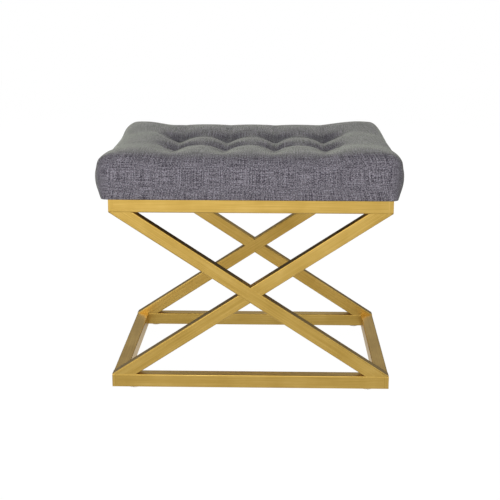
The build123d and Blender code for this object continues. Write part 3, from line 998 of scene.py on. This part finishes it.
def pierced(piece):  # a hole for each twine
    build = bmesh.new()
    low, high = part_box("tuft_twines")
    for x in np.linspace(low.x, high.x, 4):
        for y in (low.y, high.y):
            place = Matrix.Translation((x, y, (low.z + high.z) / 2))
            bmesh.ops.create_cone(
                build,
                cap_ends=True,
                segments=12,
                radius1=foam["hole"],
                radius2=foam["hole"],
                depth=foam["drill"],
                matrix=place,
            )
    mesh = bpy.data.meshes.new("drills")
    build.to_mesh(mesh)
    build.free()
    drills = bpy.data.objects.new("drills", mesh)
    scene.collection.objects.link(drills)
    cut = piece.modifiers.new("holes", "BOOLEAN")
    cut.operation = "DIFFERENCE"
    cut.solver = "EXACT"
    cut.object = drills
    applied(piece)
    bpy.data.objects.remove(drills)
    return piece


openCells = plainGrain(
    "openCellFoam", (0.62, 0.55, 0.34), (0.8, 0.74, 0.52), (700, 700, 700), 0.5 * mm, Roughness=0.95
)
block = pierced(foamBlock())
block.data.materials.append(openCells)
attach(block, "root")
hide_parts("seat_foam")
print("foam done, faces:", len(block.data.polygons))

# black dust cover stretched under the board, its corners cut off
dust = {
    "box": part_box("dust_cover"),
    "cut": 72 * mm,
    "sag": 2.0 * mm,
    "rows": 56,
    "columns": 64,
}


def dustHalf(y):  # half width at a distance from the middle
    low, high = dust["box"]
    past = np.abs(y) - (high.y - dust["cut"])
    return high.x - np.maximum(past, 0)


def dustCloth():
    low, high = dust["box"]
    across = np.linspace(-1, 1, dust["columns"] + 1)
    along = np.linspace(low.y, high.y, dust["rows"] + 1)
    y, share = np.meshgrid(along, across, indexing="ij")
    x = share * dustHalf(y)
    slack = (1 - share**2) * (1 - (y / high.y) ** 2)
    z = high.z - dust["sag"] * slack
    count = dust["columns"] + 1
    faces = [
        (r * count + c, r * count + c + 1, (r + 1) * count + c + 1, (r + 1) * count + c)
        for r in range(dust["rows"])
        for c in range(dust["columns"])
    ]
    flat = np.stack([x, y], axis=-1).reshape(-1, 2)
    piece = meshObject("dust_cloth", np.stack([x, y, z], axis=-1).reshape(-1, 3), faces, flat)
    thick = piece.modifiers.new("thickness", "SOLIDIFY")
    thick.thickness = high.z - low.z
    thick.offset = -1
    return applied(piece)


nonWoven = plainGrain(
    "blackNonWoven", (0.008, 0.008, 0.009), (0.035, 0.035, 0.037), (450, 450, 450), 0.2 * mm, Roughness=0.9
)
underCloth = dustCloth()
underCloth.data.materials.append(nonWoven)
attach(underCloth, "root")
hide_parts("dust_cover")
print("dust cover done")


# repeated small pieces
def newGeometryTree(name, inputs):
    tree = bpy.data.node_groups.new(name, "GeometryNodeTree")
    tree.interface.new_socket(name="Geometry", in_out="INPUT", socket_type="NodeSocketGeometry")
    for label, kind, value in inputs:
        tree.interface.new_socket(name=label, in_out="INPUT", socket_type=kind).default_value = value
    tree.interface.new_socket(name="Geometry", in_out="OUTPUT", socket_type="NodeSocketGeometry")
    return tree, newNode(tree, "NodeGroupInput"), newNode(tree, "NodeGroupOutput")


def chained(tree, kind, geometry, socket=0, **settings):
    node = newNode(tree, kind, **settings)
    tree.links.new(geometry, node.inputs[socket])
    return node


def boxPart(tree, size, place):  # a block of the given sockets' size
    part = newNode(tree, "GeometryNodeMeshCube")
    combine = newNode(tree, "ShaderNodeCombineXYZ")
    move = newNode(tree, "GeometryNodeTransform")
    centre = newNode(tree, "ShaderNodeCombineXYZ")
    for sockets, values in ((combine.inputs, size), (centre.inputs, place)):
        for socket, value in zip(sockets, values):
            if isinstance(value, (int, float)):
                socket.default_value = value
            else:
                tree.links.new(value, socket)
    tree.links.new(combine.outputs[0], part.inputs["Size"])
    tree.links.new(part.outputs["Mesh"], move.inputs["Geometry"])
    tree.links.new(centre.outputs[0], move.inputs["Translation"])
    return move.outputs[0]


def endTree(tree, result, geometry, material):
    real = chained(tree, "GeometryNodeRealizeInstances", geometry)
    paint = chained(tree, "GeometryNodeSetMaterial", real.outputs[0])
    paint.inputs["Material"].default_value = material
    tree.links.new(paint.outputs[0], result.inputs[0])
    return tree


def turnedByChance(tree, entry, least, most):  # a random turn about the vertical
    chance = newNode(tree, "FunctionNodeRandomValue", data_type="FLOAT")
    low, high = (socket for socket in chance.inputs if socket.enabled and socket.name in ("Min", "Max"))
    low.default_value, high.default_value = least, most
    tree.links.new(entry.outputs["Seed"], chance.inputs["Seed"])
    value = next(socket for socket in chance.outputs if socket.enabled)
    spin = newNode(tree, "ShaderNodeCombineXYZ")
    tree.links.new(value, spin.inputs["Z"])
    return spin.outputs[0]


def buttonTree(material):  # a domed button with a rolled rim on each point
    tree, entry, result = newGeometryTree(
        "coveredButtons",
        [
            ("Radius", "NodeSocketFloat", 0.01),
            ("Height", "NodeSocketFloat", 0.005),
            ("Rim", "NodeSocketFloat", 0.001),
            ("Seed", "NodeSocketInt", 1),
        ],
    )
    radius, height, rim = (entry.outputs[label] for label in ("Radius", "Height", "Rim"))
    sphere = newNode(tree, "GeometryNodeMeshUVSphere")
    sphere.inputs["Segments"].default_value = 40
    sphere.inputs["Rings"].default_value = 20
    sphere.inputs["Radius"].default_value = 1.0
    size = newNode(tree, "ShaderNodeCombineXYZ")
    inside = calc(tree, "SUBTRACT", radius, calc(tree, "MULTIPLY", rim, 0.5))
    dome = calc(tree, "SUBTRACT", height, rim)
    for label, value in (("X", inside), ("Y", inside), ("Z", dome)):
        tree.links.new(value, size.inputs[label])
    lift = newNode(tree, "ShaderNodeCombineXYZ")
    tree.links.new(rim, lift.inputs["Z"])
    swollenTop = chained(tree, "GeometryNodeTransform", sphere.outputs["Mesh"])
    tree.links.new(size.outputs[0], swollenTop.inputs["Scale"])
    tree.links.new(lift.outputs[0], swollenTop.inputs["Translation"])
    place = newNode(tree, "GeometryNodeInputPosition")
    split = newNode(tree, "ShaderNodeSeparateXYZ")
    tree.links.new(place.outputs[0], split.inputs[0])
    join = newNode(tree, "ShaderNodeCombineXYZ")
    flatZ = calc(tree, "MAXIMUM", split.outputs["Z"], 0.0)
    for label, value in (("X", split.outputs["X"]), ("Y", split.outputs["Y"]), ("Z", flatZ)):
        tree.links.new(value, join.inputs[label])
    flattened = chained(tree, "GeometryNodeSetPosition", swollenTop.outputs[0])
    tree.links.new(join.outputs[0], flattened.inputs["Position"])
    ring = newNode(tree, "GeometryNodeCurvePrimitiveCircle")
    ring.inputs["Resolution"].default_value = 40
    tree.links.new(calc(tree, "SUBTRACT", radius, rim), ring.inputs["Radius"])
    bead = newNode(tree, "GeometryNodeCurvePrimitiveCircle")
    bead.inputs["Resolution"].default_value = 10
    tree.links.new(rim, bead.inputs["Radius"])
    rolled = chained(tree, "GeometryNodeCurveToMesh", ring.outputs["Curve"])
    tree.links.new(bead.outputs["Curve"], rolled.inputs["Profile Curve"])
    raised = chained(tree, "GeometryNodeTransform", rolled.outputs[0])
    tree.links.new(lift.outputs[0], raised.inputs["Translation"])
    both = newNode(tree, "GeometryNodeJoinGeometry")
    tree.links.new(flattened.outputs[0], both.inputs[0])
    tree.links.new(raised.outputs[0], both.inputs[0])
    soft = chained(tree, "GeometryNodeSetShadeSmooth", both.outputs[0])
    weave = chained(
        tree, "GeometryNodeStoreNamedAttribute", soft.outputs[0], data_type="FLOAT2", domain="CORNER"
    )
    weave.inputs["Name"].default_value = "cloth"
    tree.links.new(place.outputs[0], next(s for s in weave.inputs if s.enabled and s.name == "Value"))
    spots = chained(tree, "GeometryNodeInstanceOnPoints", entry.outputs["Geometry"])
    tree.links.new(weave.outputs[0], spots.inputs["Instance"])
    tree.links.new(turnedByChance(tree, entry, 0.0, math.pi), spots.inputs["Rotation"])
    return endTree(tree, result, spots.outputs[0], material)


def stapleTree(material):  # wire staples along an outline, crowns below and legs up
    tree, entry, result = newGeometryTree(
        "staples",
        [
            ("Spacing", "NodeSocketFloat", 0.03),
            ("Crown", "NodeSocketFloat", 0.01),
            ("Leg", "NodeSocketFloat", 0.006),
            ("Wire", "NodeSocketFloat", 0.001),
            ("Seed", "NodeSocketInt", 1),
        ],
    )
    crown, leg, wire = (entry.outputs[label] for label in ("Crown", "Leg", "Wire"))
    halfWire = calc(tree, "MULTIPLY", wire, 0.5)
    halfLeg = calc(tree, "MULTIPLY", leg, 0.5)
    side = calc(tree, "SUBTRACT", calc(tree, "MULTIPLY", crown, 0.5), halfWire)
    bentWire = newNode(tree, "GeometryNodeJoinGeometry")
    flat = calc(tree, "MULTIPLY", wire, staple["flattened"])
    parts = [
        boxPart(tree, (crown, wire, flat), (0.0, 0.0, calc(tree, "MULTIPLY", flat, -0.5))),
        boxPart(tree, (wire, wire, leg), (side, 0.0, halfLeg)),
        boxPart(tree, (wire, wire, leg), (calc(tree, "MULTIPLY", side, -1.0), 0.0, halfLeg)),
    ]
    for part in parts:
        tree.links.new(part, bentWire.inputs[0])
    course = chained(tree, "GeometryNodeMeshToCurve", entry.outputs["Geometry"])
    spaced = chained(tree, "GeometryNodeResampleCurve", course.outputs[0], mode="LENGTH")
    tree.links.new(entry.outputs["Spacing"], spaced.inputs["Length"])
    tangent = newNode(tree, "GeometryNodeInputTangent")
    facing = newNode(tree, "FunctionNodeAlignRotationToVector", axis="X", pivot_axis="Z")
    tree.links.new(tangent.outputs[0], facing.inputs["Vector"])
    skew = newNode(tree, "FunctionNodeRotateRotation", rotation_space="LOCAL")
    tree.links.new(facing.outputs[0], skew.inputs["Rotation"])
    turn = newNode(tree, "FunctionNodeEulerToRotation")
    tree.links.new(turnedByChance(tree, entry, -staple["skew"], staple["skew"]), turn.inputs[0])
    tree.links.new(turn.outputs[0], skew.inputs["Rotate By"])
    spots = chained(tree, "GeometryNodeInstanceOnPoints", spaced.outputs[0])
    tree.links.new(bentWire.outputs[0], spots.inputs["Instance"])
    tree.links.new(skew.outputs[0], spots.inputs["Rotation"])
    return endTree(tree, result, spots.outputs[0], material)


def grown(name, points, edges, tree, **values):  # a plain mesh grown by a tree on points or an outline
    mesh = bpy.data.meshes.new(name)
    mesh.from_pydata([tuple(point) for point in points], edges, [])
    piece = bpy.data.objects.new(name, mesh)
    scene.collection.objects.link(piece)
    growth = piece.modifiers.new("growth", "NODES")
    growth.node_group = tree
    for socket in tree.interface.items_tree:
        if socket.in_out == "INPUT" and socket.name in values:
            growth[socket.identifier] = values[socket.name]
    return applied(piece)


button = {"radius": 9.2 * mm, "height": 5.6 * mm, "rim": 1.1 * mm, "lift": 0.1 * mm, "seed": 4}
tuftFloor = seat["base"] + tuft["bottom"] * mm + button["lift"]
tuftPoints = [(c + seat["aside"] * mm, r, tuftFloor) for c in seat["columns"] for r in seat["rows"]]
buttons = grown(
    "covered_buttons",
    tuftPoints,
    [],
    buttonTree(greyLinen),
    Radius=button["radius"],
    Height=button["height"],
    Rim=button["rim"],
    Seed=button["seed"],
)
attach(buttons, "root")
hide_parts("tuft_buttons")

staple = {
    "spacing": 34 * mm,
    "crown": 11 * mm,
    "leg": 6 * mm,
    "wire": 1.1 * mm,
    "flattened": 0.6,  # thickness of the crown in wires
    "skew": 0.16,  # radians, by chance
    "inset": 7 * mm,  # from the edge of the dust cover
    "proud": 0.1 * mm,
    "seed": 7,
}


def stapleLine():  # outline of the dust cover, moved inwards
    low, high = dust["box"]
    inset = staple["inset"]
    x, y = high.x - inset, high.y - inset
    cut = dust["cut"] - inset * (2 - math.sqrt(2))
    z = low.z - staple["proud"]
    right = [(x - cut, y), (x, y - cut), (x, cut - y), (x - cut, -y)]
    ring = right + [(-px, py) for px, py in reversed(right)]
    return [(px, py, z) for px, py in ring], [(k, (k + 1) % len(ring)) for k in range(len(ring))]


stapleSpots, stapleEdges = stapleLine()
staples = grown(
    "dust_staples",
    stapleSpots,
    stapleEdges,
    stapleTree(zincSteel),
    Spacing=staple["spacing"],
    Crown=staple["crown"],
    Leg=staple["leg"],
    Wire=staple["wire"],
    Seed=staple["seed"],
)
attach(staples, "root")
print("buttons and staples:", len(buttons.data.polygons), len(staples.data.polygons), "faces")

lowCad, highCad = cadBox
lowNow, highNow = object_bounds()
sizeNow = [round(b - a, 4) for a, b in zip(lowNow, highNow)]
sizeCad = [round(b - a, 4) for a, b in zip(lowCad, highCad)]
print("size", sizeNow, "cad", sizeCad)
